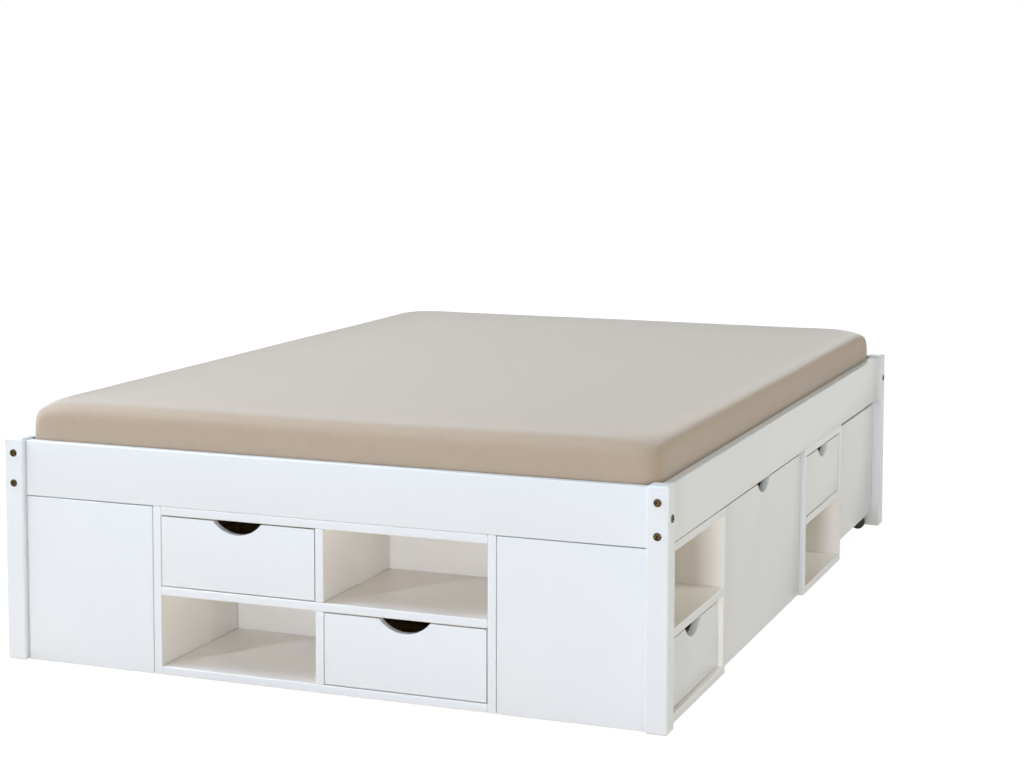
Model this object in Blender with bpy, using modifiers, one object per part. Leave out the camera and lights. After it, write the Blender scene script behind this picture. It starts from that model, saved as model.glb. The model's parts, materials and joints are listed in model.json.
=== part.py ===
"""Platform bed for a 140 x 200 cm mattress, with drawers, open compartments and rolling boxes.

The bed stands on the XY plane, origin under its middle, foot end towards -Y, head end towards +Y.
Posts and rails carry a slatted base; a cabinet fills the middle of the foot end, and along each
long side two cabinets alternate with two boxes that roll out on wheels.
"""

import math

import bmesh
import bpy
from mathutils import Vector

# Fits
FIT = 0.0003                # gap between faces that touch
REVEAL = 0.0025             # visible gap round a drawer front
EDGE = 0.0015               # rounding of board edges

# Mattress and frame
MATTRESS_WIDTH = 1.400
MATTRESS_LENGTH = 2.000
MATTRESS_THICKNESS = 0.150
MATTRESS_CORNER = 0.060
MATTRESS_EDGE = 0.022
FRAME_MARGIN = 0.040        # from the mattress to the outside of the posts
BED_WIDTH = MATTRESS_WIDTH + 2 * FRAME_MARGIN
BED_LENGTH = MATTRESS_LENGTH + 2 * FRAME_MARGIN
POST = 0.045
POST_HEIGHT = 0.480
POST_EDGE = 0.003
RAIL_THICKNESS = 0.021
RAIL_TOP = 0.475
RAIL_BOTTOM = 0.357
RECESS = (POST - RAIL_THICKNESS) / 2        # rail face behind the post face

# Slatted base and what carries it
LEDGER = 0.030
LEDGER_BOTTOM = RAIL_BOTTOM + 0.003
LEDGER_TOP = LEDGER_BOTTOM + LEDGER
LEDGER_END = 0.020          # from the end of the ledger to the end of its rail
BEAM_WIDTH = 0.060
LEG = 0.040
FOOT_LEG_GAP = 0.048        # from the foot cabinet to the first leg
HEAD_LEG_GAP = 0.327        # from the last leg to the head rail
SLATS = 14
SLAT_WIDTH = 0.070
SLAT_THICKNESS = 0.018
SLAT_END_GAP = 0.0035
TAPE_WIDTH = 0.022
TAPE_THICKNESS = 0.0015
TAPE_PLACE = 0.42

# Cabinets
BOARD = 0.018
BACK = 0.012                # thickness of a cabinet's back
CABINET_HEIGHT = RAIL_BOTTOM - FIT       # the frame rests on the cabinets too
FOOT_CABINET_DEPTH = 0.340
SIDE_CABINET_WIDTH = 0.410
SIDE_CABINET_DEPTH = 0.330
TOP_REBATE = 0.0025          # shadow line along the top of the cabinets by the foot end
TOP_REBATE_DEPTH = 0.012
CABINET_GAP = 0.013         # from the foot cabinet to the backs of the side cabinets
LARGE_BAY = 0.715           # bay between the two side cabinets
PANEL_GAP = 0.0015          # round the panels of the foot end

# Drawers
FRONT_THICKNESS = 0.016
TRAY_WALL = 0.011
TRAY_TOP_GAP = 0.039        # leaves the notch free
TRAY_SIDE_GAP = 0.004
TRAY_BACK_GAP = 0.006
NOTCH_WIDTH = 0.112
NOTCH_DEPTH = 0.0265
FOOT_DRAWER_INSET = 0.001
LOW_DRAWER_INSET = 0.011    # side drawer in the lower cell
HIGH_DRAWER_INSET = 0.003   # side drawer in the upper cell
LOW_DRAWER_TOP_GAP = 0.0115
HIGH_DRAWER_TOP_GAP = 0.0048

# Rolling boxes
BOX_INSET = 0.011           # box front behind the cabinet face
BOX_FRONT_THICKNESS = 0.018
BOX_FRONT_GAP = 0.003       # at each end of a front
BOX_BACK = 0.100            # back of a box from the middle of the bed
BOX_FLOOR = 0.0455          # underside of a box
BOX_TOP_GAP = 0.0565        # from the rim of a box to the rail
BOX_WALL = 0.012
BOX_SIDE_GAP = 0.006
LARGE_FRONT_BOTTOM = 0.004
HEAD_FRONT_BOTTOM = 0.040
LARGE_FRONT_TOP_GAP = 0.010
HEAD_FRONT_TOP_GAP = 0.0145
WHEEL_RADIUS = 0.0185
WHEEL_WIDTH = 0.016
WHEEL_EDGE = 0.003
WHEEL_STEPS = 20
PIN_RADIUS = 0.004
PIN_CLEARANCE = 0.0003
BRACKET_THICKNESS = 0.003
BRACKET_WIDTH = 0.024
BRACKET_BOTTOM = 0.010
WHEEL_END_INSET = 0.050     # wheel centre from the end of its box
WHEEL_BACK_INSET = 0.045    # rear wheel centre from the back of its box
LARGE_WHEEL_INSET = 0.022   # front wheel centre from the front of the large box, behind its board
HEAD_WHEEL_INSET = 0.007    # front wheel centre on the head box, part under its raised board

# Derived places
HALF_WIDTH = BED_WIDTH / 2
HALF_LENGTH = BED_LENGTH / 2
POST_INNER_X = HALF_WIDTH - POST
POST_INNER_Y = HALF_LENGTH - POST
RAIL_OUTER_X = HALF_WIDTH - RECESS
RAIL_INNER_X = RAIL_OUTER_X - RAIL_THICKNESS
RAIL_OUTER_Y = HALF_LENGTH - RECESS
RAIL_INNER_Y = RAIL_OUTER_Y - RAIL_THICKNESS
FOOT_CABINET_WIDTH = 2 * (RAIL_OUTER_X - SIDE_CABINET_DEPTH - CABINET_GAP)
CELL_HEIGHT = (CABINET_HEIGHT - 3 * BOARD) / 2
LOWER_CELL = BOARD
SHELF = LOWER_CELL + CELL_HEIGHT
UPPER_CELL = SHELF + BOARD
SLAT_BOTTOM = LEDGER_TOP + FIT
MATTRESS_BOTTOM = SLAT_BOTTOM + SLAT_THICKNESS + FIT
FOOT_CABINET_FRONT = -RAIL_OUTER_Y
FOOT_CABINET_END = FOOT_CABINET_FRONT + FOOT_CABINET_DEPTH
LEG_PLACES = (FOOT_CABINET_END + FOOT_LEG_GAP + LEG / 2, 0, RAIL_INNER_Y - HEAD_LEG_GAP - LEG / 2)
TRAY_HEIGHT = CELL_HEIGHT - TRAY_TOP_GAP
FOOT_TRAY_BACK = FOOT_CABINET_END - BACK - TRAY_BACK_GAP
SIDE_TRAY_DEPTH = (SIDE_CABINET_DEPTH - BACK - LOW_DRAWER_INSET - FRONT_THICKNESS - FIT
                   - TRAY_BACK_GAP)
SIDES = (("right", 1), ("left", -1))

# Colours as linear RGB, with roughness and metallic
FINISHES = {
    "lacquered_wood": ((0.80, 0.81, 0.82), 0.32, 0.0),
    "pale_wood": ((0.62, 0.50, 0.36), 0.55, 0.0),
    "mattress_cover": ((0.62, 0.56, 0.50), 0.90, 0.0),
    "black_plastic": ((0.012, 0.012, 0.013), 0.45, 0.0),
}


def clear_scene():
    for obj in list(bpy.data.objects):
        bpy.data.objects.remove(obj, do_unlink=True)


def new_collection(name):
    group = bpy.data.collections.new(name)
    bpy.context.scene.collection.children.link(group)
    return group


def move_to(obj, group):
    for old in list(obj.users_collection):
        old.objects.unlink(obj)
    group.objects.link(obj)


def set_finish(obj, finish):
    """Give obj a material of its own."""
    colour, roughness, metallic = FINISHES[finish]
    mat = bpy.data.materials.new(obj.name)
    mat.use_nodes = True
    shader = mat.node_tree.nodes["Principled BSDF"]
    shader.inputs["Base Color"].default_value = (*colour, 1.0)
    shader.inputs["Roughness"].default_value = roughness
    shader.inputs["Metallic"].default_value = metallic
    obj.data.materials.clear()
    obj.data.materials.append(mat)


def block(name, low, high, group):
    """A plain box between two corners, given in any order."""
    low, high = (Vector(map(f, low, high)) for f in (min, max))
    bpy.ops.mesh.primitive_cube_add(size=1, location=(low + high) / 2)
    obj = bpy.context.object
    obj.name = name
    obj.dimensions = high - low
    bpy.ops.object.transform_apply(location=False, rotation=False, scale=True)
    move_to(obj, group)
    return obj


def round_edges(obj, width=EDGE, segments=1):
    bevel = obj.modifiers.new("edges", "BEVEL")
    bevel.width = width
    bevel.segments = segments
    bevel.limit_method = "ANGLE"
    bevel.angle_limit = math.radians(40)


def combine(obj, other, operation):
    """Cut other from obj, or join it on; other becomes a hidden guide."""
    other.hide_render = True
    other.display_type = "WIRE"
    boolean = obj.modifiers.new(other.name, "BOOLEAN")
    boolean.object = other
    boolean.operation = operation


def join(objects):
    """One object out of several that don't overlap."""
    with bpy.context.temp_override(active_object=objects[0], selected_editable_objects=objects):
        bpy.ops.object.join()
    return objects[0]


def board(name, low, high, edge=EDGE, finish="lacquered_wood"):
    obj = block(name, low, high, parts)
    set_finish(obj, finish)
    if edge:
        round_edges(obj, edge)
    return obj


def guide_block(name, low, high):
    return block(name, low, high, guides)


def guide_cylinder(name, centre, radius, depth, axis, steps=32):
    turn = (math.pi / 2, 0, 0) if axis == "Y" else (0, math.pi / 2, 0)
    bpy.ops.mesh.primitive_cylinder_add(
        vertices=steps, radius=radius, depth=depth, location=centre, rotation=turn)
    obj = bpy.context.object
    obj.name = name
    bpy.ops.object.transform_apply(location=False, rotation=True, scale=False)
    move_to(obj, guides)
    return obj


def new_runner(name, place):
    """The empty that a sliding drawer or box hangs on."""
    runner = bpy.data.objects.new(name, None)
    runner.location = place
    guides.objects.link(runner)
    runner.hide_render = True
    return runner


def attach(obj, runner):
    obj.location -= runner.location
    obj.parent = runner


def cut_notch(front, centre, top, axis):
    """Finger notch: a segment of a circle cut down from the top edge of a front."""
    radius = (NOTCH_WIDTH ** 2 / 4 + NOTCH_DEPTH ** 2) / (2 * NOTCH_DEPTH)
    place = Vector(centre)
    place.z = top - NOTCH_DEPTH + radius
    cutter = guide_cylinder(front.name + "_notch", place, radius, 0.06, axis, steps=64)
    edges = front.modifiers.find("edges")
    combine(front, cutter, "DIFFERENCE")
    front.modifiers.move(len(front.modifiers) - 1, edges)


def tray(name, low, high, wall, runner):
    """An open-topped box: the outer skin without its lid, thickened inwards."""
    obj = block(name, low, high, parts)
    mesh = bmesh.new()
    mesh.from_mesh(obj.data)
    lid = [face for face in mesh.faces if face.normal.z > 0.9]
    bmesh.ops.delete(mesh, geom=lid, context="FACES_ONLY")
    mesh.to_mesh(obj.data)
    mesh.free()
    skin = obj.modifiers.new("walls", "SOLIDIFY")
    skin.thickness = wall
    skin.offset = -1
    skin.use_even_offset = True
    set_finish(obj, "lacquered_wood")
    attach(obj, runner)
    return obj


def build_frame():
    for end, v in (("foot", -1), ("head", 1)):
        for side, s in SIDES:
            board(f"post_{end}_{side}", (s * HALF_WIDTH, v * HALF_LENGTH, 0),
                  (s * POST_INNER_X, v * POST_INNER_Y, POST_HEIGHT), POST_EDGE)
        reach = POST_INNER_X - FIT
        board(f"rail_{end}", (-reach, v * RAIL_OUTER_Y, RAIL_BOTTOM),
              (reach, v * RAIL_INNER_Y, RAIL_TOP))
    for side, s in SIDES:
        build_side_rail(side, s)
        board(f"foot_panel_{side}", (s * (POST_INNER_X - FIT), -RAIL_OUTER_Y, 0),
              (s * (FOOT_CABINET_WIDTH / 2 + PANEL_GAP), BOARD - RAIL_OUTER_Y,
               RAIL_BOTTOM - PANEL_GAP))


def build_side_rail(side, s):
    """Side rail with the glued ledger that the slats rest on."""
    reach = POST_INNER_Y - FIT
    rail = board(f"rail_{side}", (s * RAIL_OUTER_X, -reach, RAIL_BOTTOM),
                 (s * RAIL_INNER_X, reach, RAIL_TOP))
    overlap = RAIL_THICKNESS / 2
    length = reach - LEDGER_END
    ledger = guide_block(f"ledger_{side}", (s * (RAIL_INNER_X + overlap), -length, LEDGER_BOTTOM),
                         (s * (RAIL_INNER_X - LEDGER), length, LEDGER_TOP))
    combine(rail, ledger, "UNION")


def build_centre_support():
    """Beam from end rail to end rail, with legs down to the floor."""
    reach = RAIL_INNER_Y - FIT
    beam = board("centre_support", (-BEAM_WIDTH / 2, -reach, RAIL_BOTTOM + FIT),
                 (BEAM_WIDTH / 2, reach, SLAT_BOTTOM - FIT), edge=0, finish="pale_wood")
    middle = (RAIL_BOTTOM + SLAT_BOTTOM) / 2
    legs = [guide_block(f"leg_{i}", (-LEG / 2, y - LEG / 2, 0), (LEG / 2, y + LEG / 2, middle))
            for i, y in enumerate(LEG_PLACES)]
    combine(beam, join(legs), "UNION")


def build_slats():
    """Slats in a row, held at an even pitch by two tapes under them."""
    half = RAIL_INNER_X - SLAT_END_GAP
    first = -(RAIL_INNER_Y - SLAT_WIDTH)
    pitch = -2 * first / (SLATS - 1)
    rows = [first + i * pitch for i in range(SLATS)]
    top = SLAT_BOTTOM + SLAT_THICKNESS
    slats = [board(f"slat_{i}", (-half, y - SLAT_WIDTH / 2, SLAT_BOTTOM),
                   (half, y + SLAT_WIDTH / 2, top), edge=0, finish="pale_wood")
             for i, y in enumerate(rows)]
    base = join(slats)
    base.name = "slat_base"
    base.data.materials[0].name = "slat_base"
    reach = -first + SLAT_WIDTH / 2 - 0.005
    tapes = [guide_block(f"tape_{i}", (x - TAPE_WIDTH / 2, -reach, SLAT_BOTTOM - TAPE_THICKNESS),
                         (x + TAPE_WIDTH / 2, reach, SLAT_BOTTOM + TAPE_THICKNESS))
             for i, x in enumerate((-TAPE_PLACE, TAPE_PLACE))]
    combine(base, join(tapes), "UNION")


def build_mattress():
    x, y = MATTRESS_WIDTH / 2, MATTRESS_LENGTH / 2
    obj = block("mattress", (-x, -y, MATTRESS_BOTTOM),
                (x, y, MATTRESS_BOTTOM + MATTRESS_THICKNESS), parts)
    mesh = bmesh.new()
    mesh.from_mesh(obj.data)
    upright = [e for e in mesh.edges if abs((e.verts[0].co - e.verts[1].co).z) > 0.01]
    bmesh.ops.bevel(mesh, geom=upright, offset=MATTRESS_CORNER, segments=6,
                    profile=0.5, affect="EDGES")
    mesh.to_mesh(obj.data)
    mesh.free()
    set_finish(obj, "mattress_cover")
    round_edges(obj, MATTRESS_EDGE, 3)
    obj.data.shade_smooth()


def build_foot_cabinet():
    """Two by two cells of separate boards; shelf and divider are halved into each other."""
    outer = FOOT_CABINET_WIDTH / 2
    inner = outer - BOARD
    front, end = FOOT_CABINET_FRONT, FOOT_CABINET_END
    depth_end = end - BACK - FIT
    middle = (front + depth_end) / 2
    for side, s in SIDES:
        board(f"foot_cabinet_side_{side}", (s * outer, front, 0), (s * inner, end, CABINET_HEIGHT))
    reach = inner - FIT
    board("foot_cabinet_back", (-reach, end - BACK, 0), (reach, end, CABINET_HEIGHT))
    board("foot_cabinet_bottom", (-reach, front, 0), (reach, depth_end, BOARD))
    board("foot_cabinet_top", (-reach, front, CABINET_HEIGHT - BOARD),
          (reach, depth_end, CABINET_HEIGHT))
    shelf = board("foot_cabinet_shelf", (-reach, front, SHELF),
                  (reach, depth_end, UPPER_CELL), edge=0)
    slot = BOARD / 2 + FIT
    combine(shelf, guide_block("shelf_slot", (-slot, middle - FIT, SHELF - BOARD),
                               (slot, end, UPPER_CELL + BOARD)), "DIFFERENCE")
    round_edges(shelf)
    divider = board("foot_cabinet_divider", (-BOARD / 2, front, LOWER_CELL + FIT),
                    (BOARD / 2, depth_end, CABINET_HEIGHT - BOARD - FIT), edge=0)
    combine(divider, guide_block("divider_slot", (-BOARD, front - BOARD, SHELF - FIT),
                                 (BOARD, middle + FIT, UPPER_CELL + FIT)), "DIFFERENCE")
    round_edges(divider)


def build_foot_drawer(name, s, cell):
    """Drawer of the foot cabinet in the cell that starts at height cell."""
    near, far = BOARD / 2, FOOT_CABINET_WIDTH / 2 - BOARD
    front = FOOT_CABINET_FRONT + FOOT_DRAWER_INSET
    back = front + FRONT_THICKNESS
    centre = s * (near + far) / 2
    runner = new_runner(name, (centre, front, cell))
    panel = board(f"{name}_front", (s * (near + REVEAL), front, cell + REVEAL),
                  (s * (far - REVEAL), back, cell + CELL_HEIGHT - REVEAL))
    cut_notch(panel, (centre, front, 0), cell + CELL_HEIGHT - REVEAL, "Y")
    attach(panel, runner)
    tray(f"{name}_tray", (s * (near + TRAY_SIDE_GAP), back + FIT, cell + FIT),
         (s * (far - TRAY_SIDE_GAP), FOOT_TRAY_BACK, cell + TRAY_HEIGHT),
         TRAY_WALL, runner)


def build_side_cabinet(name, s, start, rebated):
    """Glued carcass with an upper and a lower cell, both open to the side."""
    face, back = RAIL_OUTER_X, RAIL_OUTER_X - SIDE_CABINET_DEPTH
    low, high = start + FIT, start + SIDE_CABINET_WIDTH - FIT
    carcass = board(name, (s * face, low, 0), (s * back, high, CABINET_HEIGHT), edge=0)
    cells = [guide_block(f"{name}_cell_{z:.3f}", (s * (face + BOARD), low + BOARD, z),
                         (s * (back + BACK), high - BOARD, z + CELL_HEIGHT))
             for z in (LOWER_CELL, UPPER_CELL)]
    if rebated:
        cells.append(guide_block(f"{name}_rebate",
                                 (s * (face + BOARD), low - BOARD, CABINET_HEIGHT - TOP_REBATE),
                                 (s * (face - TOP_REBATE_DEPTH), high + BOARD,
                                  CABINET_HEIGHT + BOARD)))
    combine(carcass, join(cells), "DIFFERENCE")
    round_edges(carcass)


def build_side_drawer(name, s, start, cell, inset, top_gap):
    low, high = start + FIT + BOARD, start + SIDE_CABINET_WIDTH - FIT - BOARD
    front = RAIL_OUTER_X - inset
    back = front - FRONT_THICKNESS
    centre = (low + high) / 2
    runner = new_runner(name, (s * front, centre, cell))
    panel = board(f"{name}_front", (s * front, low + REVEAL, cell + REVEAL),
                  (s * back, high - REVEAL, cell + CELL_HEIGHT - top_gap))
    cut_notch(panel, (s * front, centre, 0), cell + CELL_HEIGHT - top_gap, "X")
    attach(panel, runner)
    tray(f"{name}_tray", (s * (back - FIT), low + TRAY_SIDE_GAP, cell + FIT),
         (s * (back - FIT - SIDE_TRAY_DEPTH), high - TRAY_SIDE_GAP, cell + TRAY_HEIGHT),
         TRAY_WALL, runner)


def build_wheel(name, centre, runner):
    """Ring turned about Y, with its origin on its axle."""
    bore = PIN_RADIUS + PIN_CLEARANCE
    half = WHEEL_WIDTH / 2
    profile = [(WHEEL_RADIUS, half - WHEEL_EDGE), (WHEEL_RADIUS, WHEEL_EDGE - half),
               (WHEEL_RADIUS - WHEEL_EDGE, -half), (bore, -half), (bore, half),
               (WHEEL_RADIUS - WHEEL_EDGE, half)]
    mesh = bmesh.new()
    verts = [mesh.verts.new((r, y, 0)) for r, y in profile]
    for a, b in zip(verts, verts[1:] + verts[:1]):
        mesh.edges.new((a, b))
    data = bpy.data.meshes.new(name)
    mesh.to_mesh(data)
    mesh.free()
    obj = bpy.data.objects.new(name, data)
    parts.objects.link(obj)
    obj.location = centre
    turn = obj.modifiers.new("turn", "SCREW")
    turn.axis = "Y"
    turn.steps = WHEEL_STEPS
    turn.render_steps = WHEEL_STEPS
    turn.use_merge_vertices = True
    turn.merge_threshold = 0.00001
    set_finish(obj, "black_plastic")
    attach(obj, runner)


def build_box(name, s, low, high, front_bottom, front_top, wheel_inset, notched):
    """Box that rolls out from under the bed on four wheels."""
    front = RAIL_OUTER_X - BOX_INSET
    back = front - BOX_FRONT_THICKNESS
    centre = (low + high) / 2
    runner = new_runner(name, (s * front, centre, 0))
    panel = board(f"{name}_front", (s * front, low + BOX_FRONT_GAP, front_bottom),
                  (s * back, high - BOX_FRONT_GAP, front_top))
    if notched:
        cut_notch(panel, (s * front, centre, 0), front_top, "X")
    attach(panel, runner)

    near, far = back - FIT, BOX_BACK
    left, right = low + BOX_SIDE_GAP, high - BOX_SIDE_GAP
    box = tray(f"{name}_tray", (s * near, left, BOX_FLOOR),
               (s * far, right, RAIL_BOTTOM - BOX_TOP_GAP), BOX_WALL, runner)

    plates, pins = [], []
    wheel = 0
    for end, v in ((left, 1), (right, -1)):
        y = end + v * WHEEL_END_INSET
        plate_face = y - v * (WHEEL_WIDTH / 2 + FIT)
        plate_back = plate_face - v * BRACKET_THICKNESS
        pin_end = y + v * (WHEEL_WIDTH / 2 + FIT)
        for x in (near - wheel_inset, far + WHEEL_BACK_INSET):
            wheel += 1
            plate_near = min(x + BRACKET_WIDTH / 2, near - FIT)
            plates.append(guide_block(
                f"{name}_plate_{wheel}", (s * (x - BRACKET_WIDTH / 2), plate_face, BRACKET_BOTTOM),
                (s * plate_near, plate_back, BOX_FLOOR + BOX_WALL / 2)))
            start = plate_back + v * BRACKET_THICKNESS / 3
            pins.append(guide_cylinder(
                f"{name}_pin_{wheel}", (s * x, (start + pin_end) / 2, WHEEL_RADIUS),
                PIN_RADIUS, abs(pin_end - start), "Y", steps=12))
            build_wheel(f"{name}_wheel_{wheel}", Vector((s * x, y, WHEEL_RADIUS)), runner)
    for extra in (join(plates), join(pins)):
        attach(extra, runner)
        combine(box, extra, "UNION")


def build_side(side, s):
    """Cabinet, large box, cabinet and head box, in a row from the foot post to the head post."""
    first = -POST_INNER_Y
    large = first + SIDE_CABINET_WIDTH
    second = large + LARGE_BAY
    head = second + SIDE_CABINET_WIDTH
    build_side_cabinet(f"{side}_foot_cabinet", s, first, True)
    build_side_drawer(f"{side}_foot_drawer", s, first, LOWER_CELL, LOW_DRAWER_INSET,
                      LOW_DRAWER_TOP_GAP)
    build_side_cabinet(f"{side}_middle_cabinet", s, second, False)
    build_side_drawer(f"{side}_middle_drawer", s, second, UPPER_CELL, HIGH_DRAWER_INSET,
                      HIGH_DRAWER_TOP_GAP)
    build_box(f"{side}_large_box", s, large, second, LARGE_FRONT_BOTTOM,
              RAIL_BOTTOM - LARGE_FRONT_TOP_GAP, LARGE_WHEEL_INSET, True)
    build_box(f"{side}_head_box", s, head, POST_INNER_Y, HEAD_FRONT_BOTTOM,
              RAIL_BOTTOM - HEAD_FRONT_TOP_GAP, HEAD_WHEEL_INSET, False)


clear_scene()
parts = new_collection("platform_bed")
guides = new_collection("guides")
build_frame()
build_centre_support()
build_slats()
build_mattress()
build_foot_cabinet()
build_foot_drawer("foot_upper_drawer", -1, UPPER_CELL)
build_foot_drawer("foot_lower_drawer", 1, LOWER_CELL)
for side_name, side_sign in SIDES:
    build_side(side_name, side_sign)
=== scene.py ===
"""Platform bed with storage drawers: finishes, mattress, bolts and wheels on the bed's frame."""

import json
import math

import bmesh
import bpy
from mathutils import Matrix, Vector, noise


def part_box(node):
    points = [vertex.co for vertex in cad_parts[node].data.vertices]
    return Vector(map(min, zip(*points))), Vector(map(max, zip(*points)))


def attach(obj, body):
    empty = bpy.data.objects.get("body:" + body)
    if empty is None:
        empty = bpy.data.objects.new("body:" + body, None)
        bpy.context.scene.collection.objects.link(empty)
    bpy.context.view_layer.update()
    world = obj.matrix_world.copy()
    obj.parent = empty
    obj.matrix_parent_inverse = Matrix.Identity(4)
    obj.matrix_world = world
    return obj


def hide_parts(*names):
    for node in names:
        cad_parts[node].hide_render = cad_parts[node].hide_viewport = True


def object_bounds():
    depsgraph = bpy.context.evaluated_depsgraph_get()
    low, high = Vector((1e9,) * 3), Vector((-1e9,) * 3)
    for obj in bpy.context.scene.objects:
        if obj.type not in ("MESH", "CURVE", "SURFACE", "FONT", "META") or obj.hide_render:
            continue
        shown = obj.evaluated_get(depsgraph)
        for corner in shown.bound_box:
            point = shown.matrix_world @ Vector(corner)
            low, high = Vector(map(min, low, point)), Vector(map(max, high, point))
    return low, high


bl_info = {
    "name": "Platform Bed",
    "version": (1, 0, 0),
    "blender": (4, 5, 0),
    "location": "View3D > Sidebar > Platform Bed",
    "description": "Finishes a platform bed with drawers, rolling boxes and a mattress",
    "category": "Object",
}

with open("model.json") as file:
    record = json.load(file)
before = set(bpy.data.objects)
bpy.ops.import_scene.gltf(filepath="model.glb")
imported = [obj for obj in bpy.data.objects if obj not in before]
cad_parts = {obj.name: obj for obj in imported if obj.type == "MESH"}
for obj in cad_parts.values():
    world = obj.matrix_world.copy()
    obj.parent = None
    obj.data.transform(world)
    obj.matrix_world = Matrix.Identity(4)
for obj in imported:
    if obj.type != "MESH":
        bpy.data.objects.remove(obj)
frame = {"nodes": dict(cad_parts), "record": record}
CAD_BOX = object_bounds()
MM = 0.001

SLOT_OF = {part["node"]: part["material_slot"] for part in frame["record"]["subparts"]}
BODY_OF = {node: body for body, nodes in frame["record"]["behaviour"]["bodies"].items()
           for node in nodes}
TRAYS = sorted(node for node in frame["nodes"] if node.endswith("_tray"))
WHEELS = sorted(node for node in frame["nodes"] if "_wheel_" in node)
BOARDS = sorted(node for node in frame["nodes"]
                if SLOT_OF[node] == "lacquered_wood" and node not in TRAYS)
FOOT_CABINET = sorted(node for node in BOARDS if node.startswith("foot_cabinet"))
BOX_UNDERSIDE = 45.5 * MM
BOX_WALL = 12 * MM
DRAWER_WALL = 11 * MM
GRAIN_UP = ("post_", "foot_cabinet_side", "foot_cabinet_divider", "foot_cabinet_back")


def cabinet_box(node):
    """The box of the whole cabinet that a board belongs to."""
    boxes = [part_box(other) for other in (FOOT_CABINET if node in FOOT_CABINET else (node,))]
    return (Vector(min(low[i] for low, _ in boxes) for i in range(3)),
            Vector(max(high[i] for _, high in boxes) for i in range(3)))


def linear(code):
    """An sRGB hex colour as linear RGB."""
    parts = [int(code[i:i + 2], 16) / 255 for i in (1, 3, 5)]
    return tuple(c / 12.92 if c <= 0.04045 else ((c + 0.055) / 1.055) ** 2.4 for c in parts)


# Settings


class BoardSettings(bpy.types.PropertyGroup):
    lacquer: bpy.props.FloatVectorProperty(
        name="Lacquer", description="White of the sprayed lacquer", subtype="COLOR",
        default=linear("#e6e8e9"), min=0, max=1)
    lacquer_shade: bpy.props.FloatVectorProperty(
        name="Lacquer shade", description="Slightly deeper white where the lacquer is thin",
        subtype="COLOR", default=linear("#e3e5e6"), min=0, max=1)
    # The inside colours are painted light: a lighter, warmer white than outside, for the light
    # and warm shade in the compartments.
    inside: bpy.props.FloatVectorProperty(
        name="Inside", description="White of the single coat inside the compartments",
        subtype="COLOR", default=linear("#fdf9f4"), min=0, max=1)
    inside_shade: bpy.props.FloatVectorProperty(
        name="Inside shade", description="Where the single coat lets the pine through",
        subtype="COLOR", default=linear("#fbf4ea"), min=0, max=1)
    pine: bpy.props.FloatVectorProperty(
        name="Pine", description="Pale early wood of the unlacquered pine", subtype="COLOR",
        default=linear("#d9bd92"), min=0, max=1)
    pine_ring: bpy.props.FloatVectorProperty(
        name="Pine ring", description="Darker late wood of the unlacquered pine",
        subtype="COLOR", default=linear("#b88d58"), min=0, max=1)
    edge: bpy.props.FloatProperty(
        name="Edge rounding", description="Rounding worked on each arris", subtype="DISTANCE",
        default=0.5 * MM, min=0.1 * MM, max=1 * MM)


class MattressSettings(bpy.types.PropertyGroup):
    cover: bpy.props.FloatVectorProperty(
        name="Cover", description="Colour of the fitted jersey sheet", subtype="COLOR",
        default=linear("#b3a08a"), min=0, max=1)
    corner: bpy.props.FloatProperty(
        name="Corner radius", description="Radius of the upright corners",
        subtype="DISTANCE", default=32 * MM, min=10 * MM, max=120 * MM)
    edge: bpy.props.FloatProperty(
        name="Edge radius", description="Radius of the top edge", subtype="DISTANCE",
        default=28 * MM, min=5 * MM, max=60 * MM)
    press: bpy.props.FloatProperty(
        name="Press", description="How far the mattress swells towards the rails",
        subtype="DISTANCE", default=4 * MM, min=0, max=6 * MM)
    drop: bpy.props.FloatProperty(
        name="Corner drop", description="How far the sheet's elastic draws a top corner down",
        subtype="DISTANCE", default=14 * MM, min=0, max=40 * MM)
    swell: bpy.props.FloatProperty(
        name="Swell", description="Most that the filling pushes the cover out",
        subtype="DISTANCE", default=6 * MM, min=0, max=20 * MM)


class FittingSettings(bpy.types.PropertyGroup):
    bronze: bpy.props.FloatVectorProperty(
        name="Bronze", description="Burnished steel of the bolt heads", subtype="COLOR",
        default=linear("#6e5d3f"), min=0, max=1)
    bronze_worn: bpy.props.FloatVectorProperty(
        name="Worn bronze", description="Darker patches of the bolt heads", subtype="COLOR",
        default=linear("#1f1a11"), min=0, max=1)
    zinc: bpy.props.FloatVectorProperty(
        name="Zinc", description="Bright zinc of the screws", subtype="COLOR",
        default=linear("#c9ccce"), min=0, max=1)
    zinc_dull: bpy.props.FloatVectorProperty(
        name="Dull zinc", description="Duller patches of the screws", subtype="COLOR",
        default=linear("#9da1a5"), min=0, max=1)
    rubber: bpy.props.FloatVectorProperty(
        name="Rubber", description="Black of the wheels' treads", subtype="COLOR",
        default=linear("#1d1d1c"), min=0, max=1)
    wheel_bore: bpy.props.FloatProperty(
        name="Wheel bore", description="Radius of the hole for the pin", subtype="DISTANCE",
        default=4.3 * MM, min=2 * MM, max=8 * MM)
    plastic: bpy.props.FloatVectorProperty(
        name="Plastic", description="Black of the wheels and their brackets",
        subtype="COLOR", default=linear("#171717"), min=0, max=1)
    bolt_radius: bpy.props.FloatProperty(
        name="Bolt head radius", description="Radius of a bolt head", subtype="DISTANCE",
        default=8 * MM, min=4 * MM, max=12 * MM)
    bolt_height: bpy.props.FloatProperty(
        name="Bolt head height", description="How far a bolt head stands out",
        subtype="DISTANCE", default=2.2 * MM, min=0.5 * MM, max=6 * MM)


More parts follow.
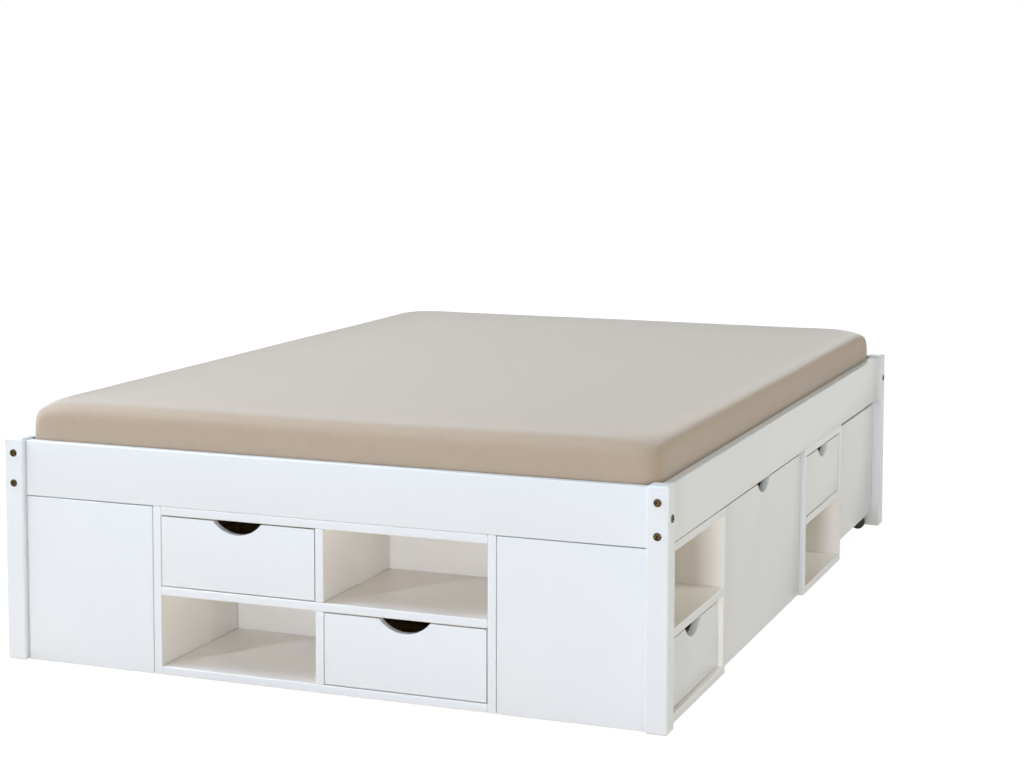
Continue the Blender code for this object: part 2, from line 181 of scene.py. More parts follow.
class StageSettings(bpy.types.PropertyGroup):
    key: bpy.props.FloatProperty(
        name="Key light", description="Power of the crisp light from the front left",
        unit="POWER", default=380, min=0)
    front: bpy.props.FloatProperty(
        name="Front fill", description="Power of the low, soft light before the foot end",
        unit="POWER", default=124, min=0)
    high: bpy.props.FloatProperty(
        name="High fill", description="Power of the broad light above the foot end",
        unit="POWER", default=5, min=0)
    corner: bpy.props.FloatProperty(
        name="Corner fill", description="Power of the soft light at the right foot corner",
        unit="POWER", default=46, min=0)
    side: bpy.props.FloatProperty(
        name="Side light", description="Power of the high, broad light on the right",
        unit="POWER", default=100, min=0)
    reflector: bpy.props.FloatProperty(
        name="Reflector", description="Power of the low reflector on the right",
        unit="POWER", default=8, min=0)
    top: bpy.props.FloatProperty(
        name="Top light", description="Power of the soft light overhead", unit="POWER",
        default=158, min=0)
    left: bpy.props.FloatProperty(
        name="Left fill", description="Power of the broad light on the left", unit="POWER",
        default=90, min=0)
    back: bpy.props.FloatProperty(
        name="Back fill", description="Power of the broad light behind the head end",
        unit="POWER", default=30, min=0)
    ambient: bpy.props.FloatProperty(
        name="Ambient", description="Strength of the light from all round", default=0.14, min=0)


# Shared steps


def deselect():
    for obj in bpy.context.selected_objects:
        obj.select_set(False)


def select_only(obj):
    deselect()
    obj.select_set(True)
    bpy.context.view_layer.objects.active = obj


def add_node(tree, kind, inputs=None, **settings):
    """A shader node with its settings, and each input linked or set."""
    node = tree.nodes.new(kind)
    for key, value in settings.items():
        setattr(node, key, value)
    for key, value in (inputs or {}).items():
        if isinstance(value, bpy.types.NodeSocket):
            tree.links.new(value, node.inputs[key])
        else:
            node.inputs[key].default_value = value
    return node


def new_material(name):
    material = bpy.data.materials.new(name)
    material.use_nodes = True
    tree = material.node_tree
    return material, tree, tree.nodes["Principled BSDF"]


def seen_directly(tree):
    """1 for a ray that sees the backdrop directly, in a reflection or through glass."""
    path = add_node(tree, "ShaderNodeLightPath")
    seen = add_node(tree, "ShaderNodeMath", {
        0: path.outputs["Is Camera Ray"], 1: path.outputs["Is Glossy Ray"]},
        operation="MAXIMUM")
    return add_node(tree, "ShaderNodeMath", {
        0: seen.outputs[0], 1: path.outputs["Is Transmission Ray"]}, operation="MAXIMUM")


def wear(obj, *materials):
    obj.data.materials.clear()
    for material in materials:
        obj.data.materials.append(material)


def apply_modifiers(obj):
    select_only(obj)
    for modifier in list(obj.modifiers):
        bpy.ops.object.modifier_apply(modifier=modifier.name)


def select_in_edit(obj, kind, chosen):
    """Enters edit mode with only the chosen faces or edges selected."""
    bpy.context.view_layer.objects.active = obj
    bpy.ops.object.mode_set(mode="EDIT")
    bpy.ops.mesh.select_mode(type=kind)
    mesh = bmesh.from_edit_mesh(obj.data)
    for item in (*mesh.faces, *mesh.edges, *mesh.verts):
        item.select = False
    items = mesh.faces if kind == "FACE" else mesh.edges
    for item in items:
        if chosen(item):
            item.select = True
    mesh.select_flush_mode()
    bmesh.update_edit_mesh(obj.data)


def leave_edit():
    bpy.ops.object.mode_set(mode="OBJECT")


def smooth(obj, degrees=35):
    select_only(obj)
    bpy.ops.object.shade_smooth_by_angle(angle=math.radians(degrees))


def turned_to(direction):
    """Turns +Z to the given direction."""
    return Vector(direction).to_track_quat("Z", "Y").to_matrix().to_4x4()


def copy_to(template, name, place, direction):
    """A copy of a template made at the origin along +Z, with its place in its own mesh."""
    obj = bpy.data.objects.new(name, template.data.copy())
    obj.data.transform(Matrix.Translation(place) @ turned_to(direction))
    bpy.context.scene.collection.objects.link(obj)
    return obj


# Finishes


def white_lacquer(name, white, shade, along):
    """Pigmented lacquer sprayed satin on pine: the grain shows only as faint long ripples.

    A full coat is a cool white. Inside the compartments the white is painted lighter and warmer:
    painted light and warm painted shade that stand in for how the compartments are lit.
    """
    material, tree, shader = new_material(name)
    length, spacing, orange_peel = 220 * MM, 4 * MM, 2.5 * MM
    clouds_per_metre = 4
    scale = [1 / length if axis == along else 1 / spacing for axis in "XYZ"]
    coords = add_node(tree, "ShaderNodeTexCoord").outputs["Object"]
    run = add_node(tree, "ShaderNodeMapping", {"Vector": coords, "Scale": scale})
    grain = add_node(tree, "ShaderNodeTexNoise", {
        "Vector": run.outputs["Vector"], "Scale": 1, "Detail": 3, "Roughness": 0.6})
    peel = add_node(tree, "ShaderNodeTexNoise", {
        "Vector": coords, "Scale": 1 / orange_peel, "Detail": 1})
    cloud = add_node(tree, "ShaderNodeTexNoise", {
        "Vector": coords, "Scale": clouds_per_metre, "Detail": 2})
    height = add_node(tree, "ShaderNodeMath", {
        0: peel.outputs["Fac"], 1: 0.4, 2: grain.outputs["Fac"]}, operation="MULTIPLY_ADD")
    bump = add_node(tree, "ShaderNodeBump", {
        "Height": height.outputs[0], "Strength": 0.10, "Distance": 0.5 * MM})
    colour = add_node(tree, "ShaderNodeMix", {
        "Factor": cloud.outputs["Fac"], "A": (*white, 1), "B": (*shade, 1)},
        data_type="RGBA")
    gloss = add_node(tree, "ShaderNodeMapRange", {
        "Value": grain.outputs["Fac"], "To Min": 0.26, "To Max": 0.36})
    tree.links.new(colour.outputs["Result"], shader.inputs["Base Color"])
    tree.links.new(gloss.outputs["Result"], shader.inputs["Roughness"])
    tree.links.new(bump.outputs["Normal"], shader.inputs["Normal"])
    return material


def planed_pine(name, settings, along):
    """Planed pine, left bare: growth rings drawn out along the board, matt and open-pored."""
    material, tree, shader = new_material(name)
    length, ring = 600 * MM, 11 * MM
    ring_waves, fibres_per_ring = 42.0, 12
    scale = [1 / length if axis == along else 1 / ring for axis in "XYZ"]
    coords = add_node(tree, "ShaderNodeTexCoord").outputs["Object"]
    run = add_node(tree, "ShaderNodeMapping", {"Vector": coords, "Scale": scale})
    rings = add_node(tree, "ShaderNodeTexNoise", {
        "Vector": run.outputs["Vector"], "Scale": 0.6, "Detail": 2, "Distortion": 0.6})
    bands = add_node(tree, "ShaderNodeMath", {0: rings.outputs["Fac"], 1: ring_waves},
                     operation="MULTIPLY")
    wave = add_node(tree, "ShaderNodeMath", {0: bands.outputs[0]}, operation="SINE")
    late = add_node(tree, "ShaderNodeMapRange", {
        "Value": wave.outputs[0], "From Min": 0.1, "From Max": 1.0, "To Max": 0.75})
    pores = add_node(tree, "ShaderNodeMapping", {
        "Vector": coords,
        "Scale": [s if s == 1 / length else s * fibres_per_ring for s in scale]})
    fibre = add_node(tree, "ShaderNodeTexNoise", {
        "Vector": pores.outputs["Vector"], "Scale": 1, "Detail": 3})
    colour = add_node(tree, "ShaderNodeMix", {
        "Factor": late.outputs["Result"], "A": (*settings.pine, 1),
        "B": (*settings.pine_ring, 1)}, data_type="RGBA")
    tone = add_node(tree, "ShaderNodeMapRange", {
        "Value": fibre.outputs["Fac"], "To Min": 0.86, "To Max": 1.10})
    shade = add_node(tree, "ShaderNodeMix", {
        "Factor": 1.0, "A": colour.outputs["Result"], "B": tone.outputs["Result"]},
        data_type="RGBA", blend_type="MULTIPLY")
    bump = add_node(tree, "ShaderNodeBump", {
        "Height": fibre.outputs["Fac"], "Strength": 0.25, "Distance": 0.3 * MM})
    shader.inputs["Roughness"].default_value = 0.62
    tree.links.new(shade.outputs["Result"], shader.inputs["Base Color"])
    tree.links.new(bump.outputs["Normal"], shader.inputs["Normal"])
    return material


def cotton_jersey(settings):
    """Single-knit cotton jersey of a fitted sheet: fine wales, matt with a soft bloom."""
    material, tree, shader = new_material("cotton_jersey")
    coords = add_node(tree, "ShaderNodeTexCoord").outputs["Object"]
    # A wave texture repeats about 20 times for each unit of its scale.
    wale, course, waves_per_scale = 1.4 * MM, 1.1 * MM, 20
    slubs_per_metre, drifts_per_metre = 60, 2.2
    height = None
    for axis, spacing in (("X", wale), ("Y", course), ("Z", course)):
        ribs = add_node(tree, "ShaderNodeTexWave", {
            "Vector": coords, "Scale": 1 / (spacing * waves_per_scale), "Distortion": 1.5,
            "Detail": 2, "Detail Scale": 2}, bands_direction=axis)
        if height is None:
            height = ribs.outputs["Fac"]
        else:
            height = add_node(tree, "ShaderNodeMath", {0: height, 1: ribs.outputs["Fac"]},
                              operation="ADD").outputs[0]
    slub = add_node(tree, "ShaderNodeTexNoise", {
        "Vector": coords, "Scale": slubs_per_metre, "Detail": 4})
    drift = add_node(tree, "ShaderNodeTexNoise", {
        "Vector": coords, "Scale": drifts_per_metre, "Detail": 3})
    tone = add_node(tree, "ShaderNodeMapRange", {
        "Value": slub.outputs["Fac"], "To Min": 0.96, "To Max": 1.04})
    cast = add_node(tree, "ShaderNodeMapRange", {
        "Value": drift.outputs["Fac"], "To Min": 0.97, "To Max": 1.03})
    both = add_node(tree, "ShaderNodeMath", {
        0: tone.outputs["Result"], 1: cast.outputs["Result"]}, operation="MULTIPLY")
    colour = add_node(tree, "ShaderNodeMix", {
        "Factor": 1.0, "A": (*settings.cover, 1), "B": both.outputs[0]},
        data_type="RGBA", blend_type="MULTIPLY")
    bump = add_node(tree, "ShaderNodeBump", {
        "Height": height, "Strength": 0.25, "Distance": 0.25 * MM})
    shader.inputs["Roughness"].default_value = 0.85
    shader.inputs["Sheen Weight"].default_value = 1.0
    shader.inputs["Sheen Tint"].default_value = (*linear("#fffdf8"), 1)
    shader.inputs["Sheen Roughness"].default_value = 0.3
    tree.links.new(colour.outputs["Result"], shader.inputs["Base Color"])
    tree.links.new(bump.outputs["Normal"], shader.inputs["Normal"])
    return material


def burnished_steel(name, clean, dull):
    """Plated steel, a little uneven from the barrel it was tumbled in."""
    material, tree, shader = new_material(name)
    blotches_per_metre = 260
    coords = add_node(tree, "ShaderNodeTexCoord").outputs["Object"]
    patina = add_node(tree, "ShaderNodeTexNoise", {
        "Vector": coords, "Scale": blotches_per_metre, "Detail": 3})
    rough = add_node(tree, "ShaderNodeMapRange", {
        "Value": patina.outputs["Fac"], "To Min": 0.28, "To Max": 0.48})
    blotches = add_node(tree, "ShaderNodeMapRange", {
        "Value": patina.outputs["Fac"], "From Min": 0.36, "From Max": 0.62})
    colour = add_node(tree, "ShaderNodeMix", {
        "Factor": blotches.outputs["Result"], "A": (*clean, 1), "B": (*dull, 1)},
        data_type="RGBA")
    shader.inputs["Metallic"].default_value = 1.0
    tree.links.new(rough.outputs["Result"], shader.inputs["Roughness"])
    tree.links.new(colour.outputs["Result"], shader.inputs["Base Color"])
    return material


def moulded_plastic(name, colour, smoothest, roughest):
    """Black polypropylene or rubber, moulded with a fine spark-eroded texture."""
    material, tree, shader = new_material(name)
    grit = 0.8 * MM
    coords = add_node(tree, "ShaderNodeTexCoord").outputs["Object"]
    texture = add_node(tree, "ShaderNodeTexNoise", {
        "Vector": coords, "Scale": 1 / grit, "Detail": 2})
    bump = add_node(tree, "ShaderNodeBump", {
        "Height": texture.outputs["Fac"], "Strength": 0.3, "Distance": 0.1 * MM})
    rough = add_node(tree, "ShaderNodeMapRange", {
        "Value": texture.outputs["Fac"], "To Min": smoothest, "To Max": roughest})
    shader.inputs["Base Color"].default_value = (*colour, 1)
    tree.links.new(rough.outputs["Result"], shader.inputs["Roughness"])
    tree.links.new(bump.outputs["Normal"], shader.inputs["Normal"])
    return material


def long_axis(node):
    """The axis that a board's grain runs along: its longest side, or up where named."""
    if node.startswith(GRAIN_UP):
        return "Z"
    low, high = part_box(node)
    size = high - low
    return "XYZ"[max(range(2), key=lambda i: size[i])]


def soften(obj, width, edge_slot=-1):
    """Merges a board's loose faces and rounds its arrises; the flats stay flat."""
    weld = obj.modifiers.new("weld", "WELD")
    weld.merge_threshold = 0.01 * MM
    flats = obj.modifiers.new("flats", "DECIMATE")
    flats.decimate_type = "DISSOLVE"
    flats.angle_limit = math.radians(1)
    flats.delimit = {"NORMAL", "MATERIAL"}
    bevel = obj.modifiers.new("arris", "BEVEL")
    bevel.width = width
    bevel.segments = 2
    bevel.limit_method = "ANGLE"
    bevel.angle_limit = math.radians(25)
    bevel.harden_normals = True
    bevel.material = edge_slot
    for polygon in obj.data.polygons:
        polygon.use_smooth = True


# Pieces


class BED_OT_lacquered_boards(bpy.types.Operator):
    """Rounds the arrises of the lacquered boards and gives them their finish"""

    bl_idname = "bed.lacquered_boards"
    bl_label = "Lacquered boards"

    def execute(self, context):
        settings = context.scene.bed_boards
        finish, thin = {}, {}
        for axis in "XYZ":
            finish[axis] = white_lacquer(f"white_lacquer_{axis.lower()}", settings.lacquer,
                                         settings.lacquer_shade, axis)
        # The inside copies carry the painted light and warm painted shade of the compartments.
        for axis in "XYZ":
            thin[axis] = white_lacquer(f"inside_lacquer_painted_light_{axis.lower()}", settings.inside,
                                       settings.inside_shade, axis)
        for node in BOARDS:
            obj = frame["nodes"][node]
            wear(obj, finish[long_axis(node)], thin[long_axis(node)])
            if "cabinet" in node:
                self.line(node, obj)
            soften(obj, settings.edge, 0)
        return {"FINISHED"}

    def line(self, node, obj):
        """Gives the painted-light inside coat to every face that doesn't lie in the cabinet's
        outside.
        """
        low, high = cabinet_box(node)
        for polygon in obj.data.polygons:
            on_outside = any(
                abs(polygon.normal[i]) > 0.9
                and min(abs(polygon.center[i] - low[i]), abs(polygon.center[i] - high[i])) < MM
                for i in range(3))
            polygon.material_index = 0 if on_outside else 1


class BED_OT_bare_wood(bpy.types.Operator):
    """Gives the trays, slats and centre support their bare pine, with black wheel brackets"""

    bl_idname = "bed.bare_wood"
    bl_label = "Bare wood"

    def execute(self, context):
        settings = context.scene.bed_boards
        finish = {axis: planed_pine(f"planed_pine_{axis.lower()}", settings, axis)
                  for axis in "XYZ"}
        black = bpy.data.materials["moulded_plastic"]
        for node in ("slat_base", "centre_support"):
            wear(frame["nodes"][node], finish[long_axis(node)])
        for node in TRAYS:
            wear(frame["nodes"][node], finish["X"], finish["Y"], black)
            self.turn_grain(frame["nodes"][node], 1 if long_axis(node) == "Y" else 0)
        for node in (*TRAYS, "slat_base", "centre_support"):
            soften(frame["nodes"][node], settings.edge)
        return {"FINISHED"}

    def turn_grain(self, obj, along):
        """Runs the grain along each wall of a tray, and gives the wheel brackets plastic."""
        pine_across, pine_along, plastic = 0, 1, 2
        for polygon in obj.data.polygons:
            across = [abs(polygon.normal[i]) > 0.7 for i in range(2)]
            polygon.material_index = (
                pine_along if across[0] else pine_across if across[1] else along)
            if "box" in obj.name and polygon.center.z < BOX_UNDERSIDE - 0.1 * MM:
                polygon.material_index = plastic


def hex_bolt(settings, finish):
    """Domed bolt head with a hexagon socket, along +Z from the origin."""
    deselect()
    height, sunk = settings.bolt_height, MM
    dome, socket_radius, socket_depth = 1.4 * MM, 3.4 * MM, 4 * MM
    bpy.ops.mesh.primitive_cylinder_add(
        vertices=48, radius=settings.bolt_radius, depth=height + sunk,
        location=(0, 0, (height - sunk) / 2))
    head = bpy.context.object
    bpy.ops.object.transform_apply(location=True, rotation=False, scale=False)
    select_in_edit(head, "EDGE", lambda e: min(v.co.z for v in e.verts) > height - 0.01 * MM)
    bpy.ops.mesh.bevel(offset=dome, segments=5, profile=0.5)
    leave_edit()
    deselect()
    bpy.ops.mesh.primitive_cylinder_add(
        vertices=6, radius=socket_radius, depth=socket_depth, location=(0, 0, height))
    socket = bpy.context.object
    cut = head.modifiers.new("socket", "BOOLEAN")
    cut.object = socket
    apply_modifiers(head)
    bpy.data.objects.remove(socket)
    wear(head, finish)
    smooth(head, 40)
    return head


def bolt_places():
    """Where the bolts enter the posts: two into each side rail, one into each end rail."""
    low, high = CAD_BOX
    rail_low, rail_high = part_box("rail_foot")
    middle = (rail_low.z + rail_high.z) / 2
    half_pair = 32.5 * MM
    for end, y, v in (("foot", low.y, -1), ("head", high.y, 1)):
        for side, x, s in (("right", high.x, 1), ("left", low.x, -1)):
            post_low, post_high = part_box(f"post_{end}_{side}")
            centre = (post_low + post_high) / 2
            for i, z in enumerate((middle - half_pair, middle + half_pair)):
                yield f"bolt_{end}_{side}_{i + 1}", (centre.x, y, z), (0, v, 0)
            yield f"bolt_{end}_{side}_3", (x, centre.y, middle), (s, 0, 0)


class BED_OT_frame_bolts(bpy.types.Operator):
    """Adds the bolt heads that hold the rails to the posts"""

    bl_idname = "bed.frame_bolts"
    bl_label = "Frame bolts"

    def execute(self, context):
        template = hex_bolt(context.scene.bed_fittings, bpy.data.materials["burnished_steel"])
        for name, place, direction in bolt_places():
            bolt = copy_to(template, name, place, direction)
            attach(bolt, "frame")
        bpy.data.objects.remove(template)
        return {"FINISHED"}


def rolling_wheel(radius, width, bore):
    """Wheel about Z at the origin: a rounded tread on a dished hub, bored for its pin."""
    deselect()
    bpy.ops.mesh.primitive_cylinder_add(vertices=64, radius=radius, depth=width)
    wheel = bpy.context.object
    rim, boss = radius - 4 * MM, bore + 2.6 * MM
    wall, dish, rise, round_over = 0.4 * MM, 2.5 * MM, 2.0 * MM, 2.2 * MM
    near = 0.05 * MM
    select_in_edit(wheel, "FACE", lambda f: abs(f.normal.z) > 0.9)
    bpy.ops.mesh.inset(thickness=radius - rim, use_individual=True)
    bpy.ops.mesh.inset(thickness=wall, depth=-dish, use_individual=True)
    bpy.ops.mesh.inset(thickness=rim - boss - 3 * wall, use_individual=True)
    bpy.ops.mesh.inset(thickness=wall, depth=rise, use_individual=True)
    bpy.ops.mesh.inset(thickness=boss - bore + wall, use_individual=True)
    bpy.ops.mesh.delete(type="FACE")
    leave_edit()
    inner = min(v.co.xy.length for v in wheel.data.vertices)
    select_in_edit(wheel, "EDGE", lambda e: all(
        v.co.xy.length < inner + near for v in e.verts))
    bpy.ops.mesh.bridge_edge_loops()
    leave_edit()
    select_in_edit(wheel, "EDGE", lambda e: all(
        abs(v.co.xy.length - radius) < near for v in e.verts)
        and abs(e.verts[0].co.z - e.verts[1].co.z) < near)
    bpy.ops.mesh.bevel(offset=round_over, segments=4, profile=0.5)
    leave_edit()
    wear(wheel, bpy.data.materials["moulded_plastic"], bpy.data.materials["tread_rubber"])
    for polygon in wheel.data.polygons:
        outward = polygon.center.xy.length > rim - 0.3 * MM
        polygon.material_index = 1 if outward else 0
    smooth(wheel, 40)
    return wheel


class BED_OT_wheels(bpy.types.Operator):
    """Puts a dished, rubber-treaded wheel in each bracket of the rolling boxes"""

    bl_idname = "bed.wheels"
    bl_label = "Wheels"

    def execute(self, context):
        settings = context.scene.bed_fittings
        low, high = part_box(WHEELS[0])
        radius, width = (high.z - low.z) / 2, high.y - low.y
        template = rolling_wheel(radius, width, settings.wheel_bore)
        for node in WHEELS:
            low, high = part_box(node)
            wheel = copy_to(template, f"{node}_rolling", (low + high) / 2, (0, 1, 0))
            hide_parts(node)
            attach(wheel, BODY_OF[node])
        bpy.data.objects.remove(template)
        return {"FINISHED"}


def wood_screw(finish):
    """Countersunk cross-head screw seen from its head, along +Z from the origin."""
    deselect()
    radius, thickness, proud = 3.8 * MM, 1.4 * MM, 0.5 * MM
    slit_size = (4.2 * MM, 0.9 * MM, 1.6 * MM)
    bpy.ops.mesh.primitive_cylinder_add(vertices=32, radius=radius, depth=thickness,
                                        location=(0, 0, proud - thickness / 2))
    head = bpy.context.object
    bpy.ops.object.transform_apply(location=True, rotation=False, scale=False)
    select_in_edit(head, "EDGE", lambda e: min(v.co.z for v in e.verts) > 0.4 * MM)
    bpy.ops.mesh.bevel(offset=0.4 * MM, segments=3, profile=0.5)
    leave_edit()
    for turn in (45, 135):
        deselect()
        bpy.ops.mesh.primitive_cube_add(size=1, location=(0, 0, 0.6 * MM),
                                        rotation=(0, 0, math.radians(turn)))
        slit = bpy.context.object
        slit.scale = slit_size
        cut = head.modifiers.new("slit", "BOOLEAN")
        cut.object = slit
        apply_modifiers(head)
        bpy.data.objects.remove(slit)
    wear(head, finish)
    smooth(head, 40)
    return head


def screw_places():
    """Inside each drawer and box: where its front is screwed on through the tray wall."""
    for node in TRAYS:
        low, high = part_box(node)
        front_low, front_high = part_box(node.replace("_tray", "_front"))
        move = (front_low + front_high) / 2 - (low + high) / 2
        axis = 1 if node.startswith("foot_") else 0
        across = 1 - axis
        s = math.copysign(1, move[axis])
        wall = BOX_WALL if "box" in node else DRAWER_WALL
        inner = (high[axis] if s > 0 else low[axis]) - s * wall
        floor = BOX_UNDERSIDE if "box" in node else low.z
        count = 4 if "large_box" in node else 2
        from_corner = 60 * MM
        first, last = low[across] + from_corner, high[across] - from_corner
        for i in range(count):
            place = Vector((0, 0, (floor + high.z) / 2))
            place[axis] = inner
            place[across] = first + (last - first) * i / (count - 1)
            direction = Vector((0, 0, 0))
            direction[axis] = -s
            yield node, i + 1, place, direction


class BED_OT_front_screws(bpy.types.Operator):
    """Adds the screws that hold each front to its tray"""

    bl_idname = "bed.front_screws"
    bl_label = "Front screws"

    def execute(self, context):
        template = wood_screw(bpy.data.materials["zinc_plate"])
        for node, number, place, direction in screw_places():
            screw = copy_to(template, f"{node}_screw_{number}", place, direction)
            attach(screw, BODY_OF[node])
        bpy.data.objects.remove(template)
        return {"FINISHED"}


class BED_OT_fittings_finish(bpy.types.Operator):
    """Makes the finishes of the bolts, wheels and brackets"""

    bl_idname = "bed.fittings_finish"
    bl_label = "Fittings finish"

    def execute(self, context):
        settings = context.scene.bed_fittings
        burnished_steel("burnished_steel", settings.bronze, settings.bronze_worn)
        burnished_steel("zinc_plate", settings.zinc, settings.zinc_dull)
        moulded_plastic("moulded_plastic", settings.plastic, 0.38, 0.5)
        moulded_plastic("tread_rubber", settings.rubber, 0.62, 0.75)
        return {"FINISHED"}


class BED_OT_mattress(bpy.types.Operator):
    """Makes the mattress in its fitted sheet, swollen by its filling"""

    bl_idname = "bed.mattress"
    bl_label = "Mattress"

    def execute(self, context):
        settings = context.scene.bed_mattress
        low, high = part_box("mattress")
        swell = settings.swell
        deselect()
        bpy.ops.mesh.primitive_cube_add(size=1, location=(low + high) / 2)
        pad = context.object
        pad.name = "mattress_cover"
        pad.dimensions = high - low - Vector((2, 2, 1)) * swell * 0.8
        bpy.ops.object.transform_apply(location=True, rotation=False, scale=True)
        select_in_edit(pad, "EDGE", lambda e: abs(
            (e.verts[0].co - e.verts[1].co).normalized().z) > 0.9)
        bpy.ops.mesh.bevel(offset=settings.corner, segments=8, profile=0.5)
        leave_edit()
        top = max(v.co.z for v in pad.data.vertices)
        select_in_edit(pad, "EDGE", lambda e: min(v.co.z for v in e.verts) > top - MM)
        bpy.ops.mesh.bevel(offset=settings.edge, segments=6, profile=0.5)
        leave_edit()
        grid = pad.modifiers.new("grid", "REMESH")
        grid.mode = "VOXEL"
        grid.voxel_size = 16 * MM
        even = pad.modifiers.new("even", "SMOOTH")
        even.factor = 0.5
        even.iterations = 4
        apply_modifiers(pad)
        self.fill(context, pad, swell)
        self.settle(pad, low, high, settings)
        finer = pad.modifiers.new("finer", "SUBSURF")
        finer.levels = finer.render_levels = 1
        apply_modifiers(pad)
        wear(pad, cotton_jersey(settings))
        for polygon in pad.data.polygons:
            polygon.use_smooth = True
        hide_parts("mattress")
        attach(pad, "frame")
        return {"FINISHED"}

    def fill(self, context, pad, swell):
        """Lets the filling press the cover out, no further than the swell."""
        steps = 20
        before = [v.co.copy() for v in pad.data.vertices]
        cloth = pad.modifiers.new("filling", "CLOTH")
        cloth.settings.use_pressure = True
        cloth.settings.uniform_pressure_force = 4
        cloth.settings.effector_weights.gravity = 0
        cloth.settings.quality = 4
        cloth.point_cache.frame_end = steps
        for step in range(1, steps + 1):
            context.scene.frame_set(step)
        apply_modifiers(pad)
        context.scene.frame_set(1)
        for vertex, start in zip(pad.data.vertices, before):
            move = vertex.co - start
            if move.length > swell:
                vertex.co = start + move.normalized() * swell

    def nearness(self, co, low, high):
        """How near a point is to the nearest corner of the mattress, from 0 to 1."""
        reach = 130 * MM
        away = math.hypot(min(co.x - low.x, high.x - co.x), min(co.y - low.y, high.y - co.y))
        return max(0, 1 - away / reach) ** 2

    def settle(self, pad, low, high, settings):
        """Fits the pad to its box and gives the top the long, low waves of a used sheet."""
        points = [vertex.co for vertex in pad.data.vertices]
        least = Vector(min(co[i] for co in points) for i in range(3))
        most = Vector(max(co[i] for co in points) for i in range(3))
        low = low - Vector((settings.press, settings.press, 0))
        high = high + Vector((settings.press, settings.press, 0))
        middle, flat_below, wave_height = (low.z + high.z) / 2, low.z + 6 * MM, 1.6 * MM
        for vertex in pad.data.vertices:
            co = vertex.co
            for i in range(3):
                share = (co[i] - least[i]) / (most[i] - least[i])
                co[i] = low[i] + share * (high[i] - low[i])
            if co.z < flat_below:
                co.z = low.z
            if co.z > middle:
                co.z -= settings.drop * self.nearness(co, low, high)
            if co.z > middle:
                co.z += wave_height * noise.noise(Vector((co.x * 2.1, co.y * 1.7, 0.3)))


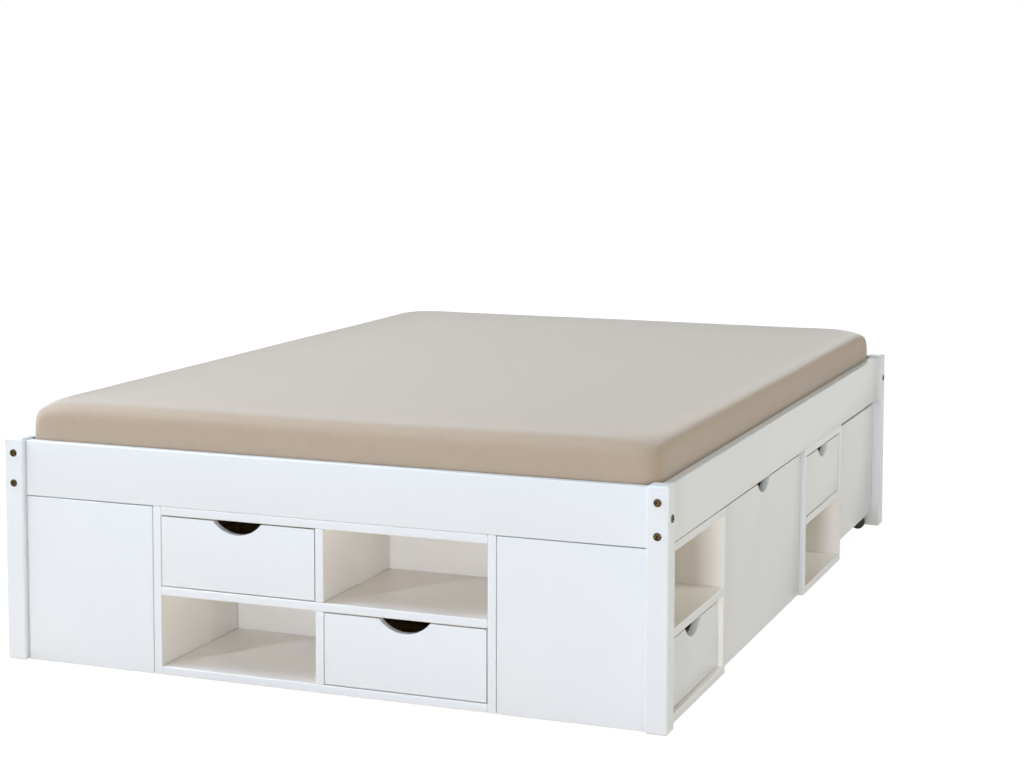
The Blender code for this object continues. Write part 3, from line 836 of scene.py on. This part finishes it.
class BED_OT_stage(bpy.types.Operator):
    """Sets the floor, the soft lights and the camera"""

    bl_idname = "bed.stage"
    bl_label = "Stage"

    def execute(self, context):
        settings = context.scene.bed_stage
        self.floor()
        self.world(context.scene, settings)
        cool, cooler, plain = linear("#e8f1ff"), linear("#dcebff"), linear("#fbfffb")
        for name, power, size, place, colour in (
                ("key_light", settings.key, 0.25, (-5.9, -10.2, 4.9), cool),
                ("front_fill", settings.front, 0.8, (1.4, -6.6, 0.6), cool),
                ("high_fill", settings.high, 3.0, (-1.0, -5.0, 4.0), cool),
                ("corner_fill", settings.corner, 1.0, (5.5, -4.5, 0.6), plain),
                ("side_light", settings.side, 3.0, (4.5, 0.5, 4.0), plain),
                ("reflector", settings.reflector, 3.0, (6.5, -0.6, 1.2), plain),
                ("left_fill", settings.left, 3.0, (-6.2, 0.6, 2.2), cool),
                ("back_fill", settings.back, 3.0, (-1.5, 6.6, 2.6), plain),
                ("top_light", settings.top, 2.4, (-2.4, -1.05, 3.4), cooler)):
            self.light(name, power, size, place, colour)
        self.camera(context.scene)
        context.scene.view_settings.view_transform = "Standard"
        return {"FINISHED"}

    def floor(self):
        """Pale floor that shows white, with a little of the bed's shadow near the bed."""
        width, below, shadow_edge, white_from = 60, 0.5 * MM, 1.5, 3.0
        deselect()
        bpy.ops.mesh.primitive_plane_add(size=width, location=(0, 0, -below))
        floor = bpy.context.object
        floor.name = "floor"
        material, tree, shader = new_material("studio_floor")
        shader.inputs["Base Color"].default_value = (*linear("#dccab4"), 1)
        shader.inputs["Roughness"].default_value = 0.9
        seen = seen_directly(tree)
        coords = add_node(tree, "ShaderNodeTexCoord").outputs["Object"]
        away = add_node(tree, "ShaderNodeVectorMath", {0: coords}, operation="LENGTH")
        white = add_node(tree, "ShaderNodeMapRange", {
            "Value": away.outputs["Value"], "From Min": shadow_edge, "From Max": white_from,
            "To Min": 0.9, "To Max": 1.0})
        share = add_node(tree, "ShaderNodeMath", {
            0: seen.outputs[0], 1: white.outputs["Result"]}, operation="MULTIPLY")
        glow = add_node(tree, "ShaderNodeEmission", {"Color": (1, 1, 1, 1), "Strength": 1.08})
        mix = add_node(tree, "ShaderNodeMixShader", {
            "Fac": share.outputs[0], 1: shader.outputs["BSDF"], 2: glow.outputs["Emission"]})
        tree.links.new(mix.outputs["Shader"], tree.nodes["Material Output"].inputs["Surface"])
        wear(floor, material)

    def world(self, scene, settings):
        """Faint light from all round; the background itself shows white."""
        world = bpy.data.worlds.new("studio")
        world.use_nodes = True
        scene.world = world
        tree = world.node_tree
        seen = seen_directly(tree)
        ambient = tree.nodes["Background"]
        ambient.inputs["Color"].default_value = (1, 1, 1, 1)
        ambient.inputs["Strength"].default_value = settings.ambient
        white = add_node(tree, "ShaderNodeBackground", {"Color": (1, 1, 1, 1), "Strength": 1})
        mix = add_node(tree, "ShaderNodeMixShader", {
            "Fac": seen.outputs[0], 1: ambient.outputs[0], 2: white.outputs[0]})
        tree.links.new(mix.outputs[0], tree.nodes["World Output"].inputs["Surface"])

    def light(self, name, power, size, place, colour):
        deselect()
        bpy.ops.object.light_add(type="AREA", location=place)
        light = bpy.context.object
        light.name = name
        light.data.energy = power
        light.data.size = size
        light.data.color = colour
        bed_middle = Vector((0, 0, 0.3))
        aim = bed_middle - Vector(place)
        light.rotation_euler = aim.to_track_quat("-Z", "Y").to_euler()

    def camera(self, scene):
        """Eye-height view of the foot end from its right-hand corner."""
        place, degrees = (1.8633, -4.764, 1.2407), (85.076, -0.119, 21.167)
        bpy.ops.object.camera_add(location=place)
        camera = bpy.context.object
        camera.rotation_euler = [math.radians(angle) for angle in degrees]
        camera.data.lens = 73.45
        camera.data.shift_y = -0.12
        scene.camera = camera


class BED_PT_panel(bpy.types.Panel):
    """Lists the steps that finish the bed"""

    bl_label = "Platform Bed"
    bl_space_type = "VIEW_3D"
    bl_region_type = "UI"
    bl_category = "Platform Bed"

    def draw(self, context):
        for step in STEPS:
            self.layout.operator(step.bl_idname)


STEPS = (BED_OT_fittings_finish, BED_OT_lacquered_boards, BED_OT_bare_wood,
         BED_OT_frame_bolts, BED_OT_wheels, BED_OT_front_screws, BED_OT_mattress,
         BED_OT_stage)
SETTINGS = {"bed_boards": BoardSettings, "bed_mattress": MattressSettings,
            "bed_fittings": FittingSettings, "bed_stage": StageSettings}


def register():
    for cls in (*SETTINGS.values(), *STEPS, BED_PT_panel):
        bpy.utils.register_class(cls)
    for name, cls in SETTINGS.items():
        setattr(bpy.types.Scene, name, bpy.props.PointerProperty(type=cls))


def unregister():
    for name in SETTINGS:
        delattr(bpy.types.Scene, name)
    for cls in (BED_PT_panel, *reversed(STEPS), *SETTINGS.values()):
        bpy.utils.unregister_class(cls)


def main():
    register()
    for step in STEPS:
        group, name = step.bl_idname.split(".")
        getattr(getattr(bpy.ops, group), name)()


if __name__ == "__main__":
    main()
